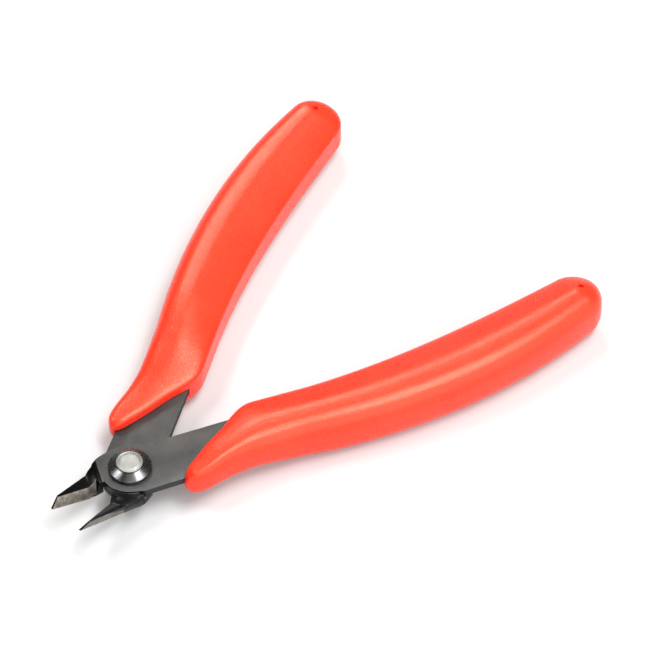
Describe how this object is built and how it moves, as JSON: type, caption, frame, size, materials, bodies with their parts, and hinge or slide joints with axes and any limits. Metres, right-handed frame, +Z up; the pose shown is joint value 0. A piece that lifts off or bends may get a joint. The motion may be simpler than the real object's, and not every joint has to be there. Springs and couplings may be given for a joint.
{
  "type": "diagonal cutting pliers",
  "caption": "Small flush-cutting pliers: two stamped steel halves lapped on a riveted pivot, angled cutting head, wire return spring and red vinyl handle sleeves.",
  "frame": {"origin": "bottom centre of the open tool's bounding box, on the surface the tool lies on", "axes": "+X from the jaws to the handles, +Z up out of the front of the tool, +Y towards the left handle"},
  "size_m": [0.1216, 0.088, 0.012],
  "materials": {
    "black_oxide": "matte black oxide over fine-ground steel, bright on the ground bevels",
    "bright_steel": "turned and polished",
    "collar_steel": "turned, polished cone",
    "spring_wire": "drawn wire",
    "red_vinyl": "soft moulded vinyl with a fine grain and a soft sheen"
  },
  "bodies": {
    "right_handle": {"front_blade_half": "black_oxide", "right_grip_sleeve": "red_vinyl", "pivot_rivet": "bright_steel", "pivot_collar": "collar_steel", "rear_washer": "collar_steel", "return_spring": "spring_wire"},
    "left_handle": {"rear_blade_half": "black_oxide", "left_grip_sleeve": "red_vinyl"}
  },
  "joints": [
    {"name": "pivot", "type": "hinge", "parent": "right_handle", "child": "left_handle", "pos_m": [-0.04223, 0, 0.006], "axis": [0, 0, -1], "range_deg": [0, 22.8], "stiffness_Nm_per_rad": 0.4, "springref_deg": -8.59, "deforming": ["return_spring"]}
  ]
}
